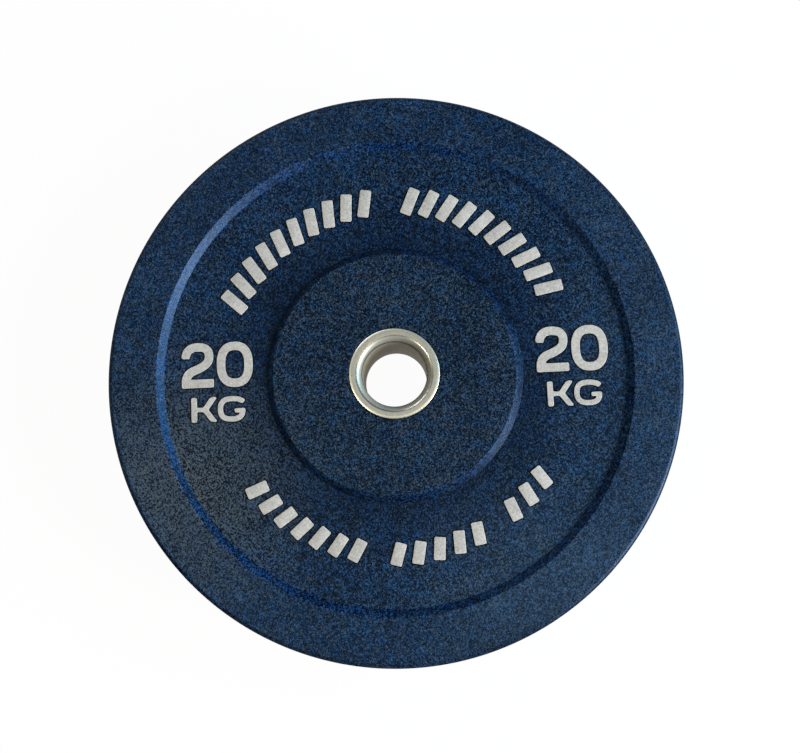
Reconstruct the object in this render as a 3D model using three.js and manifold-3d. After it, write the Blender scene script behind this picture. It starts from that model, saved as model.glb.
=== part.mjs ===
// A bumper plate: a thick crumb rubber disc moulded round a steel insert, with grey rubber inlays set into both
// faces. Units are millimetres. The plate lies flat with its axis along Z and its front face up. The origin is the
// centre of the bore, half way through the plate. X runs to the right of the front face and Y to its top.

import * as THREE from 'three';
import { mergeVertices } from 'three/addons/utils/BufferGeometryUtils.js';
import Module from 'manifold-3d';

const wasm = await Module();
wasm.setup();

// The disc
const plateDiameter = 450;
const plateThickness = 75;      // over the two steel collars
const rimWidth = 38;            // raised ring at the outside, seen from the front
const rimStepWidth = 6;         // slope from the rim down to the sunken ring
const hubDiameter = 190;        // raised flat round the collar
const hubStepWidth = 5.5;       // slope from the hub down to the sunken ring
const recessDepth = 5;
const outerEdgeRadius = 4;

// The steel insert
const boreDiameter = 51;        // slides on a 50 mm bar sleeve
const sleeveWall = 4;
const collarDiameter = 71;
const collarStand = 0.5;        // height of the collar's lip over the rubber
const collarLipThickness = 3;
const collarEdgeRadius = 0.9;
const flareWidth = 5.6;         // the rounded mouth, measured outwards from the bore
const flareDepth = 7;
const skirtWall = 3.2;          // the collar grips the end of the sleeve with this wall
const skirtLength = 6;
const anchorDiameter = 180;
const anchorThickness = 8;
const anchorHoleCount = 8;
const anchorHoleDiameter = 20;
const anchorHoleRadius = 62;    // from the plate's axis to the middle of each hole

// The inlays
const inlayRaise = 0.9;         // height over the floor of the sunken ring
const inlaySink = 2.6;          // depth below that floor
const markInset = 1.75;         // from the middle of the sunken ring in to the middle of each weight mark
const numeralHeight = 36.4;
const numeralStroke = 7.3;
const twoWidth = 25.4;
const zeroWidth = 28.9;
const numeralSpace = 2.3;       // between the two numerals
const lineSpace = 7;            // between the numerals and the letters under them
const letterHeight = 20.2;
const letterKStroke = 5.2;
const letterGStroke = 4.6;
const letterBarStroke = 3.8;    // the level bars of the K and the G
const letterKWidth = 20.8;
const letterGWidth = 21.4;
const letterSpace = 0.2;        // between the K and the G
const armTurn = 54;             // degrees by which the arms of the K rise from level

// The striped inlays, which lie along two arcs
const stripeInset = 1.25;       // from the middle of the sunken ring in to the middle of each stripe
const upperStripeHeight = 24;
const lowerStripeHeight = 19.5;
const stripeWidth = 9;
const stripePitch = 15;
const stripeLean = 16;          // degrees
const webWidth = 9;             // the strip under the rubber that joins the stripes
const webThickness = 1.1;

const clearance = 0.3;          // between pieces that touch
const overrun = 2;              // by which a cutter runs past what it cuts

// Angles in degrees, counted from the X axis, over which each row of stripes runs
const stripeRows = [
  { name: 'upper_left_stripes', from: 94.4, to: 156.2, height: upperStripeHeight },
  { name: 'upper_right_stripes', from: 23.8, to: 85.6, height: upperStripeHeight },
  { name: 'lower_left_stripes', from: 215, to: 258.6, height: lowerStripeHeight },
  { name: 'lower_middle_stripes', from: 266, to: 298, height: lowerStripeHeight },
  { name: 'lower_right_stripes', from: 305.7, to: 325, height: lowerStripeHeight },
];

// How finely round shapes are cut
const discSides = 60;
const insertSides = 40;
const holeSides = 14;
const edgeSteps = 3;
const flareSteps = 5;
const curveSteps = 4;
const ringSides = 24;
const webSteps = 6;

// Sizes worked out from the ones above
const plateRadius = plateDiameter / 2;
const rimInnerRadius = plateRadius - rimWidth;
const hubRadius = hubDiameter / 2;
const faceHeight = plateThickness / 2 - collarStand;
const floorHeight = faceHeight - recessDepth;
const ringMiddle = (hubRadius + hubStepWidth + rimInnerRadius - rimStepWidth) / 2;
const markRadius = ringMiddle - markInset;
const stripeRadius = ringMiddle - stripeInset;
const lipTop = plateThickness / 2;
const boreRadius = boreDiameter / 2;
const sleeveRadius = boreRadius + sleeveWall;
const collarRadius = collarDiameter / 2;
const flareRadius = boreRadius + flareWidth;
const throatHeight = lipTop - flareDepth;
const socketRadius = sleeveRadius + clearance;
const skirtRadius = socketRadius + skirtWall;
const skirtFoot = throatHeight - skirtLength;
const lipFoot = lipTop - collarLipThickness;
const anchorRadius = anchorDiameter / 2;
const anchorSlot = anchorThickness / 2 + clearance;

// Plain colours of the finishes
const rubberFinish = { color: 0x22405f, roughness: 0.85, metalness: 0 };
const inlayFinish = { color: 0xcdc8bf, roughness: 0.75, metalness: 0 };
const collarFinish = { color: 0xbdb9ae, roughness: 0.3, metalness: 1 };
const sleeveFinish = { color: 0x8d8878, roughness: 0.45, metalness: 1 };
const anchorFinish = { color: 0x6d6f70, roughness: 0.6, metalness: 1 };

function namedMesh(name, geometry, finish) {
  const mesh = new THREE.Mesh(geometry, new THREE.MeshStandardMaterial(finish));
  mesh.name = name;
  return mesh;
}

// Turns a closed geometry into a solid that can be joined and cut.
function solidOf(geometry) {
  const bare = geometry.index ? geometry.toNonIndexed() : geometry.clone();
  bare.deleteAttribute('normal');
  bare.deleteAttribute('uv');
  const merged = mergeVertices(bare);
  const vertProperties = new Float32Array(merged.attributes.position.array);
  const triVerts = new Uint32Array(merged.index.array);
  return new wasm.Manifold(new wasm.Mesh({ numProp: 3, vertProperties, triVerts }));
}

function geometryOf(solid) {
  const { vertProperties, triVerts } = solid.getMesh();
  const geometry = new THREE.BufferGeometry();
  geometry.setAttribute('position', new THREE.BufferAttribute(vertProperties, 3));
  geometry.setIndex(new THREE.BufferAttribute(triVerts, 1));
  geometry.computeVertexNormals();
  return geometry;
}

function join(geometries) {
  return geometries.map(solidOf).reduce((sum, solid) => sum.add(solid));
}

// Spins a closed outline of [radius, height] points round the plate's axis.
function spun(outline, sides) {
  const points = [...outline, outline[0]].map(([radius, height]) => new THREE.Vector2(radius, height));
  return new THREE.LatheGeometry(points, sides).rotateX(Math.PI / 2);
}

// Points of a quarter ellipse from its side to its top, without the first one.
function roundedCorner(centreRadius, centreHeight, width, height, steps) {
  return Array.from({ length: steps }, (_, i) => {
    const turn = ((i + 1) / steps) * (Math.PI / 2);
    return [centreRadius + width * Math.cos(turn), centreHeight + height * Math.sin(turn)];
  });
}

// Half of the disc's section, from the anchor slot out to the outer edge.
function upperHalfOutline() {
  const edgeRadius = plateRadius - outerEdgeRadius;
  const edgeHeight = faceHeight - outerEdgeRadius;
  const roundEdge = roundedCorner(edgeRadius, edgeHeight, outerEdgeRadius, outerEdgeRadius, edgeSteps);
  return [
    [anchorRadius + clearance, anchorSlot],
    [socketRadius, anchorSlot],
    [socketRadius, skirtFoot - clearance],
    [skirtRadius + clearance, skirtFoot - clearance],
    [skirtRadius + clearance, lipFoot - clearance],
    [collarRadius + clearance, lipFoot - clearance],
    [collarRadius + clearance, faceHeight],
    [hubRadius, faceHeight],
    [hubRadius + hubStepWidth, floorHeight],
    [rimInnerRadius - rimStepWidth, floorHeight],
    [rimInnerRadius, faceHeight],
    ...roundEdge.reverse(),
    [plateRadius, edgeHeight],
  ];
}

function discGeometry() {
  const upper = upperHalfOutline();
  const lower = upper.map(([radius, height]) => [radius, -height]).reverse();
  return spun([...lower, ...upper].reverse(), discSides);
}

// Middles of the holes in the anchor disc.
function anchorHoleCentres() {
  return Array.from({ length: anchorHoleCount }, (_, i) => {
    const turn = (i / anchorHoleCount) * 2 * Math.PI;
    return new THREE.Vector2(anchorHoleRadius * Math.cos(turn), anchorHoleRadius * Math.sin(turn));
  });
}

// The rubber that fills the anchor disc's holes and ties the two halves of the plate together.
function rubberPlugs() {
  const radius = anchorHoleDiameter / 2 - clearance;
  const height = 2 * (anchorSlot + overrun);
  return anchorHoleCentres().map((centre) => {
    const plug = new THREE.CylinderGeometry(radius, radius, height, holeSides).rotateX(Math.PI / 2);
    return plug.translate(centre.x, centre.y, 0);
  });
}

function circlePoints(centre, radius, sides) {
  return Array.from({ length: sides }, (_, i) => {
    const turn = (i / sides) * 2 * Math.PI;
    return new THREE.Vector2(centre.x + radius * Math.cos(turn), centre.y + radius * Math.sin(turn));
  });
}

function anchorDisc() {
  const middle = new THREE.Vector2(0, 0);
  const shape = new THREE.Shape(circlePoints(middle, anchorRadius, discSides));
  shape.holes.push(new THREE.Path(circlePoints(middle, socketRadius, insertSides)));
  for (const centre of anchorHoleCentres()) {
    shape.holes.push(new THREE.Path(circlePoints(centre, anchorHoleDiameter / 2, holeSides)));
  }
  const geometry = new THREE.ExtrudeGeometry(shape, { depth: anchorThickness, bevelEnabled: false });
  const mesh = namedMesh('anchor_disc', geometry, anchorFinish);
  mesh.position.z = -anchorThickness / 2;
  return mesh;
}

function hubSleeve() {
  const end = throatHeight - clearance;
  const outline = [[boreRadius, end], [boreRadius, -end], [sleeveRadius, -end], [sleeveRadius, end]];
  return namedMesh('hub_sleeve', spun(outline, insertSides), sleeveFinish);
}

function collar(name) {
  const mouth = roundedCorner(flareRadius, throatHeight, -flareWidth, flareDepth, flareSteps);
  const edgeRadius = collarRadius - collarEdgeRadius;
  const edgeHeight = lipTop - collarEdgeRadius;
  const roundEdge = roundedCorner(edgeRadius, edgeHeight, collarEdgeRadius, collarEdgeRadius, edgeSteps);
  const outline = [
    ...mouth.reverse(),
    [boreRadius, throatHeight],
    [socketRadius, throatHeight],
    [socketRadius, skirtFoot],
    [skirtRadius, skirtFoot],
    [skirtRadius, lipFoot],
    [collarRadius, lipFoot],
    [collarRadius, edgeHeight],
    ...roundEdge,
  ];
  return namedMesh(name, spun(outline, insertSides), collarFinish);
}

// Both sides of a pen line of the given width along the points: the left side, then the right side. Each end is
// square, and grow widens and lengthens the line all round.
function lineSides(points, width, grow, closed) {
  const half = width / 2 + grow;
  const last = points.length - 1;
  const left = [];
  const right = [];
  points.forEach((point, i) => {
    const before = points[i > 0 ? i - 1 : closed ? last : 0];
    const after = points[i < last ? i + 1 : closed ? 0 : last];
    const arriving = (i > 0 || closed ? point.clone().sub(before) : after.clone().sub(point)).normalize();
    const leaving = (i < last || closed ? after.clone().sub(point) : point.clone().sub(before)).normalize();
    const along = arriving.clone().add(leaving).normalize();
    const side = new THREE.Vector2(-along.y, along.x).multiplyScalar(half / along.dot(leaving));
    const middle = point.clone();
    if (!closed && i === 0) middle.addScaledVector(along, -grow);
    if (!closed && i === last) middle.addScaledVector(along, grow);
    left.push(middle.clone().add(side));
    right.push(middle.clone().sub(side));
  });
  return { left, right };
}

// A pen line as a solid strip between two heights.
function lineGeometry(line, grow) {
  const { left, right } = lineSides(line.points, line.width, grow, line.closed);
  const shape = new THREE.Shape(line.closed ? right : [...right, ...left.reverse()]);
  if (line.closed) shape.holes.push(new THREE.Path(left));
  const depth = line.top - line.foot + 2 * grow;
  const geometry = new THREE.ExtrudeGeometry(shape, { depth, bevelEnabled: false });
  return geometry.translate(0, 0, line.foot - grow);
}

function inlayLine(points, width, closed = false) {
  return { points, width, closed, top: inlayRaise, foot: -inlaySink };
}

// Points of a run of curves whose ends and handles are shares of the half width and half height of a box.
function curvePoints(start, curveShares, halfWidth, halfHeight) {
  const path = new THREE.Path();
  path.moveTo(start[0] * halfWidth, start[1] * halfHeight);
  for (const [ax, ay, bx, by, x, y] of curveShares) {
    path.bezierCurveTo(
      ax * halfWidth, ay * halfHeight, bx * halfWidth, by * halfHeight, x * halfWidth, y * halfHeight,
    );
  }
  return path.getPoints(curveSteps);
}

function numeralTwo() {
  const halfWidth = (twoWidth - numeralStroke) / 2;
  const halfHeight = (numeralHeight - numeralStroke) / 2;
  const startShare = [-1, 0.37];
  const bowlShares = [
    [-1, 0.8, -0.6, 1, 0, 1],
    [0.66, 1, 1, 0.86, 1, 0.48],
    [1, 0.08, 0.6, -0.05, -0.12, -0.25],
    [-0.8, -0.38, -1, -0.58, -1, -1],
  ];
  const foot = [
    new THREE.Vector2(-twoWidth / 2, -halfHeight),
    new THREE.Vector2(twoWidth / 2, -halfHeight),
  ];
  const bowl = curvePoints(startShare, bowlShares, halfWidth, halfHeight);
  return [inlayLine(bowl, numeralStroke), inlayLine(foot, numeralStroke)];
}

function numeralZero() {
  const halfWidth = (zeroWidth - numeralStroke) / 2;
  const halfHeight = (numeralHeight - numeralStroke) / 2;
  const squareness = 2.5;
  const points = Array.from({ length: ringSides }, (_, i) => {
    const turn = (i / ringSides) * 2 * Math.PI;
    const across = Math.sign(Math.cos(turn)) * Math.abs(Math.cos(turn)) ** (2 / squareness);
    const up = Math.sign(Math.sin(turn)) * Math.abs(Math.sin(turn)) ** (2 / squareness);
    return new THREE.Vector2(halfWidth * across, halfHeight * up);
  });
  return [inlayLine(points, numeralStroke, true)];
}

// The arms of the K are cut square, and the corners of their ends touch the letter's box.
function letterK() {
  const half = letterKStroke / 2;
  const turn = THREE.MathUtils.degToRad(armTurn);
  const stemX = half - letterKWidth / 2;
  const armX = letterKWidth / 2 - half * Math.sin(turn);
  const armY = letterHeight / 2 - half * Math.cos(turn);
  const fork = new THREE.Vector2(armX - armY / Math.tan(turn), 0);
  const stem = [new THREE.Vector2(stemX, -letterHeight / 2), new THREE.Vector2(stemX, letterHeight / 2)];
  const bar = [new THREE.Vector2(stemX, 0), fork];
  const arms = [new THREE.Vector2(armX, armY), fork, new THREE.Vector2(armX, -armY)];
  return [inlayLine(stem, letterKStroke), inlayLine(bar, letterBarStroke), inlayLine(arms, letterKStroke)];
}

function letterG() {
  const halfWidth = (letterGWidth - letterGStroke) / 2;
  const halfHeight = (letterHeight - letterGStroke) / 2;
  const startShare = [1.1, 0.63];
  const bowlShares = [
    [0.86, 0.92, 0.5, 1, 0.05, 1],
    [-0.72, 1, -1, 0.7, -1, 0],
    [-1, -0.7, -0.72, -1, 0.05, -1],
    [0.72, -1, 1, -0.72, 1, -0.175],
  ];
  const barStartShare = 0.27;
  const barHeightShare = -0.175;
  const bar = [
    new THREE.Vector2(barStartShare * halfWidth, barHeightShare * halfHeight),
    new THREE.Vector2(letterGWidth / 2, barHeightShare * halfHeight),
  ];
  const bowl = curvePoints(startShare, bowlShares, halfWidth, halfHeight);
  return [inlayLine(bowl, letterGStroke), inlayLine(bar, letterBarStroke)];
}

// A point on an arc round the plate's axis, at an angle in degrees.
function arcPoint(radius, angle) {
  const turn = THREE.MathUtils.degToRad(angle);
  return new THREE.Vector2(radius * Math.cos(turn), radius * Math.sin(turn));
}

// A row of leaning stripes that stand on one buried web.
function stripeRow(row) {
  const arcLength = THREE.MathUtils.degToRad(row.to - row.from) * stripeRadius;
  const count = Math.max(2, Math.round(arcLength / stripePitch));
  const lean = THREE.MathUtils.degToRad(stripeLean);
  const reach = (row.height - stripeWidth * Math.sin(lean)) / Math.cos(lean) / 2;
  const endSpace = stripeWidth / 2 + reach * Math.sin(lean);
  const endAngle = THREE.MathUtils.radToDeg(endSpace / stripeRadius);
  const stepAngle = (row.to - row.from - 2 * endAngle) / (count - 1);
  const stripes = Array.from({ length: count }, (_, i) => {
    const angle = row.from + endAngle + i * stepAngle;
    const middle = arcPoint(stripeRadius, angle);
    const along = arcPoint(reach, angle - stripeLean);
    return inlayLine([middle.clone().sub(along), middle.clone().add(along)], stripeWidth);
  });
  const arc = Array.from({ length: webSteps + 1 }, (_, i) => {
    const share = i / webSteps;
    return arcPoint(stripeRadius, row.from + endAngle + share * (row.to - row.from - 2 * endAngle));
  });
  const web = { points: arc, width: webWidth, closed: false, top: webThickness - inlaySink, foot: -inlaySink };
  return [web, ...stripes];
}

// Every inlay of one face: its name, its lines and its place on the floor of the sunken ring.
function faceInlays() {
  const markHeight = numeralHeight + lineSpace + letterHeight;
  const numeralY = (markHeight - numeralHeight) / 2;
  const letterY = -(markHeight - letterHeight) / 2;
  const numeralsWidth = twoWidth + numeralSpace + zeroWidth;
  const lettersWidth = letterKWidth + letterSpace + letterGWidth;
  const inlays = [];
  for (const [side, centreX] of [['left', -markRadius], ['right', markRadius]]) {
    const twoX = centreX - numeralsWidth / 2 + twoWidth / 2;
    const zeroX = centreX + numeralsWidth / 2 - zeroWidth / 2;
    const kX = centreX - lettersWidth / 2 + letterKWidth / 2;
    const gX = centreX + lettersWidth / 2 - letterGWidth / 2;
    inlays.push({ name: `${side}_numeral_2`, lines: numeralTwo(), x: twoX, y: numeralY });
    inlays.push({ name: `${side}_numeral_0`, lines: numeralZero(), x: zeroX, y: numeralY });
    inlays.push({ name: `${side}_letter_k`, lines: letterK(), x: kX, y: letterY });
    inlays.push({ name: `${side}_letter_g`, lines: letterG(), x: gX, y: letterY });
  }
  for (const row of stripeRows) inlays.push({ name: row.name, lines: stripeRow(row), x: 0, y: 0 });
  return inlays;
}

// Cutters for the pockets that hold the inlays of one face.
function pocketCutters(turned) {
  return faceInlays().flatMap((inlay) => inlay.lines.map((line) => {
    const cutter = lineGeometry(line, clearance).translate(inlay.x, inlay.y, floorHeight);
    return turned ? cutter.rotateY(Math.PI) : cutter;
  }));
}

function rubberBody() {
  const disc = join([discGeometry(), ...rubberPlugs()]);
  const pockets = join([...pocketCutters(false), ...pocketCutters(true)]);
  return namedMesh('rubber_body', geometryOf(disc.subtract(pockets)), rubberFinish);
}

// The collar and the inlays of one side. The rear side is the front one turned over.
function plateSide(sideName) {
  const side = new THREE.Group();
  side.add(collar(`${sideName}_collar`));
  for (const inlay of faceInlays()) {
    const geometry = geometryOf(join(inlay.lines.map((line) => lineGeometry(line, 0))));
    const mesh = namedMesh(`${sideName}_${inlay.name}`, geometry, inlayFinish);
    mesh.position.set(inlay.x, inlay.y, floorHeight);
    side.add(mesh);
  }
  return side;
}

const plate = new THREE.Group();
const front = plateSide('front');
const rear = plateSide('rear');
rear.rotation.y = Math.PI;
plate.add(rubberBody(), hubSleeve(), anchorDisc(), front, rear);

export default plate;
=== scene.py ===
# %% [markdown]
# # A bumper plate
#
# A bumper plate is a thick disc of pressed rubber that can be dropped with a loaded bar. This one is made
# of black and blue crumbs, has a steel insert in its middle, and carries light grey marks set into both
# faces. The solid model of the plate is loaded first and stays as it is. Every piece made below takes its
# size and place from that frame, gets its fine shape and its finish, and is then shown in place of the
# plain solid.

# %% Load the frame
import math

import bmesh
import bpy
from mathutils import Matrix, Vector
from mathutils.geometry import delaunay_2d_cdt


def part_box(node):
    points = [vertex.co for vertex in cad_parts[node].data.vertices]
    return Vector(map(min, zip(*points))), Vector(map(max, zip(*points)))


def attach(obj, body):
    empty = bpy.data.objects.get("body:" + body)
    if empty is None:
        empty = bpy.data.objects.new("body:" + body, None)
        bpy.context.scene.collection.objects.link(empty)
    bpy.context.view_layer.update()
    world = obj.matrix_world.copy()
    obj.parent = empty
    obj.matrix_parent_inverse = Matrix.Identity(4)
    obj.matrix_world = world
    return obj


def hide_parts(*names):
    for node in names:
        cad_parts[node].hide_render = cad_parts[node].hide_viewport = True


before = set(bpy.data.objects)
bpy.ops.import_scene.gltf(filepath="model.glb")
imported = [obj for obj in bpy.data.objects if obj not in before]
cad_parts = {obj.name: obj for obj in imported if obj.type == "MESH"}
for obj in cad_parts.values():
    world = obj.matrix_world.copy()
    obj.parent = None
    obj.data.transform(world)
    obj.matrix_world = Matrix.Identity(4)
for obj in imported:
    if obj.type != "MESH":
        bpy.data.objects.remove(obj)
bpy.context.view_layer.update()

print("the frame holds", len(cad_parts), "nodes")

# %% [markdown]
# ## Sizes
#
# Blender works in metres and the plate was drawn in millimetres, so lengths are written as a number times
# mm. What the frame can tell is measured from it. What it can't tell, such as the width of a slope between
# two edges, is written down once here under the name that the solid model uses.

# %% Measure the frame and name the rest
mm = 0.001
plate_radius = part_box("rubber_body")[1].x
face_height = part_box("rubber_body")[1].z
collar_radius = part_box("front_collar")[1].x
lip_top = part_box("front_collar")[1].z
skirt_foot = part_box("front_collar")[0].z
sleeve_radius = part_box("hub_sleeve")[1].x
sleeve_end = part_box("hub_sleeve")[1].z
anchor_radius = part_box("anchor_disc")[1].x
anchor_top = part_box("anchor_disc")[1].z

clearance = 0.3 * mm
inlay_raise = 0.9 * mm
inlay_sink = 2.6 * mm
floor_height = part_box("front_left_numeral_2")[1].z - inlay_raise
rim_inner_radius = plate_radius - 38 * mm
rim_step_width = 6 * mm
hub_radius = 95 * mm
hub_step_width = 5.5 * mm
outer_edge_radius = 4 * mm
bore_radius = 25.5 * mm
flare_width = 5.6 * mm
flare_depth = 7 * mm
collar_lip_thickness = 3 * mm
skirt_wall = 3.2 * mm
lip_fall_width = 2.8 * mm
lip_fall = 0.42 * mm
socket_radius = sleeve_radius + clearance
skirt_radius = socket_radius + skirt_wall
lip_foot = lip_top - collar_lip_thickness
throat_height = lip_top - flare_depth
print(f"plate {2 * plate_radius / mm:.0f} mm across, {2 * lip_top / mm:.0f} mm thick over the collars")

# %% [markdown]
# ## Wires for node trees
#
# Geometry and finishes are both made of nodes, and most of them are sums. In the node editor each plus or
# minus is one more node to place and to join. Here a small class wraps an output socket as a wire, so that
# sums can be written as plain Python expressions: every operator adds the Math node it stands for.

# %% Make the wires
def socket_named(sockets, name):
    if isinstance(name, int):
        return sockets[name]
    return next(socket for socket in sockets if socket.name == name and socket.enabled)


class Wire:
    """An output socket that can be used in sums: 1 - wire adds a Math node."""

    def __init__(self, bench, socket):
        self.bench = bench
        self.socket = socket

    def other_output(self, name):
        return Wire(self.bench, socket_named(self.socket.node.outputs, name))

    def __add__(self, other):
        return self.bench.maths("ADD", self, other)

    def __sub__(self, other):
        return self.bench.maths("SUBTRACT", self, other)

    def __rsub__(self, other):
        return self.bench.maths("SUBTRACT", other, self)

    def __mul__(self, other):
        return self.bench.maths("MULTIPLY", self, other)

    def __truediv__(self, other):
        return self.bench.maths("DIVIDE", self, other)

    __radd__ = __add__
    __rmul__ = __mul__


print("a wire can be added, subtracted, multiplied and divided")

# %% [markdown]
# ## A bench for node trees
#
# Adding a node by hand takes many lines, so the bench keeps a tree and adds one node per call: its settings
# first, because they decide which sockets it has, then the values or wires of its sockets. One method is
# enough for every kind of node. Two short ones besides it are there for Math and Vector Math.

# %% Make the bench
def set_stops(ramp, stops):
    """Puts (place, colour) stops on a colour ramp, which blends evenly from each to the next."""
    ramp.interpolation = "LINEAR"
    ramp.elements.remove(ramp.elements[1])
    ramp.elements[0].color = (*stops[0][1], 1)
    for place, colour in stops[1:]:
        ramp.elements.new(place).color = (*colour, 1)


class Bench:
    """A node tree that is filled one node at a time."""

    def __init__(self, tree):
        self.tree = tree

    def plug(self, socket, value):
        for item in value if isinstance(value, list) else [value]:
            if isinstance(item, Wire):
                self.tree.links.new(item.socket, socket)
            else:
                socket.default_value = item

    def node(self, kind, settings=None, sockets=None, output=0):
        node = self.tree.nodes.new(kind)
        for name, value in (settings or {}).items():
            if name == "stops":
                set_stops(node.color_ramp, value)
            else:
                setattr(node, name, value)
        for name, value in (sockets or {}).items():
            self.plug(socket_named(node.inputs, name), value)
        return Wire(self, socket_named(node.outputs, output)) if node.outputs else None

    def maths(self, operation, *values):
        return self.node("ShaderNodeMath", {"operation": operation}, dict(enumerate(values)))

    def vector(self, operation, *values, output=0):
        settings = {"operation": operation}
        return self.node("ShaderNodeVectorMath", settings, dict(enumerate(values)), output)


print("the bench is ready")

# %% [markdown]
# ## Helpers for finishes
#
# A finish is a material made of nodes. A few patterns do most of the work: soft noise, cells that each have
# a random value, and ramps that turn a value into a share from 0 to 1. All of them are read at a point's
# place on the plate, so a pattern stays where it is, whichever side the plate is seen from.

# %% Define the finish helpers
def new_finish(name):
    material = bpy.data.materials.new(name)
    material.use_nodes = True
    material.node_tree.nodes.clear()
    return material, Bench(material.node_tree)


def close_finish(bench, surface, other=None, share=0.0):
    """Gives the finish a Principled surface with these sockets, and a share of another one."""
    shader = bench.node("ShaderNodeBsdfPrincipled", None, surface)
    if other:
        second = bench.node("ShaderNodeBsdfPrincipled", None, other)
        shader = bench.node("ShaderNodeMixShader", None, {0: share, 1: shader, 2: second})
    bench.node("ShaderNodeOutputMaterial", None, {"Surface": shader})


def noise(bench, place, size, detail=2.0, roughness=0.5):
    """Noise whose lumps are about this size across."""
    sockets = {"Vector": place, "Scale": 1 / size, "Detail": detail, "Roughness": roughness}
    return bench.node("ShaderNodeTexNoise", None, sockets)


def cells(bench, place, size):
    """How far a point is from the middle of its cell. The other output, Color, is random for each cell."""
    sockets = {"Vector": place, "Scale": 1 / size}
    return bench.node("ShaderNodeTexVoronoi", {"feature": "F1"}, sockets, "Distance")


def mixed(bench, share, first, second):
    """The first colour with this share of the second."""
    sockets = {"Factor": share, "A": first, "B": second}
    return bench.node("ShaderNodeMix", {"data_type": "RGBA"}, sockets, "Result")


def part_of(bench, colour, part):
    return bench.node("ShaderNodeSeparateColor", None, {"Color": colour}, part)


def ramped(bench, value, start, end):
    """0 up to the start, 1 from the end on, and even between them."""
    sockets = {"Value": value, "From Min": start, "From Max": end}
    return bench.node("ShaderNodeMapRange", None, sockets)


def faded(bench, value, start, end):
    """1 up to the start, falling softly to 0 at the end."""
    sockets = {"Value": value, "From Min": start, "From Max": end, "To Min": 1.0, "To Max": 0.0}
    return bench.node("ShaderNodeMapRange", {"interpolation_type": "SMOOTHSTEP"}, sockets)


def bumped(bench, height, strength, depth):
    return bench.node("ShaderNodeBump", None, {"Strength": strength, "Distance": depth, "Height": height})


print("the finish helpers are ready")

# %% [markdown]
# ## Places on the plate
#
# Most of what varies on the plate follows its rings or gathers round one spot: steel is rubbed bright along
# an edge, and dust with a painted sheen lies in one part of the ring. So these helpers turn a point's place
# into its radius, its height or its distance from a spot. A painted image could do the same, but every piece
# would have to be unwrapped for it, and it would blur up close.

# %% Find places on the plate
def object_place(bench):
    return bench.node("ShaderNodeTexCoord", output="Object")


def part_along(bench, place, axis):
    return bench.node("ShaderNodeSeparateXYZ", None, {0: place}, axis)


def radius_of(bench, place):
    """How far a place is from the plate's axis."""
    return bench.vector("LENGTH", bench.vector("MULTIPLY", place, (1, 1, 0)), output="Value")


def height_of(bench, place):
    """How far a place is above or below the plate's middle."""
    return bench.maths("ABSOLUTE", part_along(bench, place, "Z"))


def near_spot(bench, place, spot, reach):
    """1 at the spot, falling softly to 0 at this reach from it."""
    return faded(bench, bench.vector("DISTANCE", place, spot, output="Value"), 0.0, reach)


def on_flats(bench, place):
    """1 on the flat faces of the disc and 0 on the slopes between them."""
    middle = (floor_height + face_height) / 2
    reach = (face_height - floor_height) / 2 - 0.3 * mm
    return bench.maths("GREATER_THAN", bench.maths("ABSOLUTE", height_of(bench, place) - middle), reach)


def shifted(bench, place, vector, reach):
    """The place moved by a random vector, whose parts run from 0 to 1, by half of reach each way."""
    centred = bench.vector("SUBTRACT", vector, (0.5, 0.5, 0.5))
    return bench.vector("MULTIPLY_ADD", centred, (reach, reach, reach), place)


def by_radius(bench, place, outer_radius, rings):
    """A colour that changes with the radius, from a list of (radius, colour) that begins at the axis."""
    stops = [(radius / outer_radius, colour) for radius, colour in rings]
    sockets = {"Fac": radius_of(bench, place) / outer_radius}
    return bench.node("ShaderNodeValToRGB", {"stops": stops}, sockets)


print("places are told by radius, by height and by how near they are to a spot")

# %% [markdown]
# ## The finish of the crumb rubber
#
# The disc is pressed from ground tyre rubber and coloured crumbs, one to two millimetres across, bound by
# glue. Up close it is a mosaic of black, navy and blue grains with a few light ones. Voronoi cells make
# such grains: each cell is one crumb, its random value picks a shade from a ramp, and it is highest in its
# middle, which leaves a shallow joint round it. The cells are bent by noise first, because real crumbs have
# no straight sides.
#
# The shades run from nearly black to a middle blue. What they are multiplied by changes with the radius:
# the hub is a little greyer than the rim, the slopes carry a painted blue sheen, and painted shade darkens
# the ring beside the hub, the foot of the rim's slope and the rounded outer edge.

# %% Choose the colours of the crumbs
def from_screen(red, green, blue):
    """The colour that shows as these screen values, from 0 to 255, in light of plain strength."""
    shares = [value / 255 for value in (red, green, blue)]
    return tuple(((share + 0.055) / 1.055) ** 2.4 if share > 0.04 else share / 12.92 for share in shares)


crumb_shades = [
    (0.00, from_screen(0, 2, 12)),
    (0.20, from_screen(1, 9, 26)),
    (0.40, from_screen(9, 26, 46)),
    (0.60, from_screen(25, 45, 69)),
    (0.80, from_screen(42, 65, 93)),
    (1.00, from_screen(60, 86, 116)),
]
painted_light_blue = from_screen(73, 96, 120)
dust_and_sheen_grey = from_screen(85, 90, 88)
bluer, browner = (0.7, 1.0, 1.16), (1.38, 1.02, 0.84)


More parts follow.
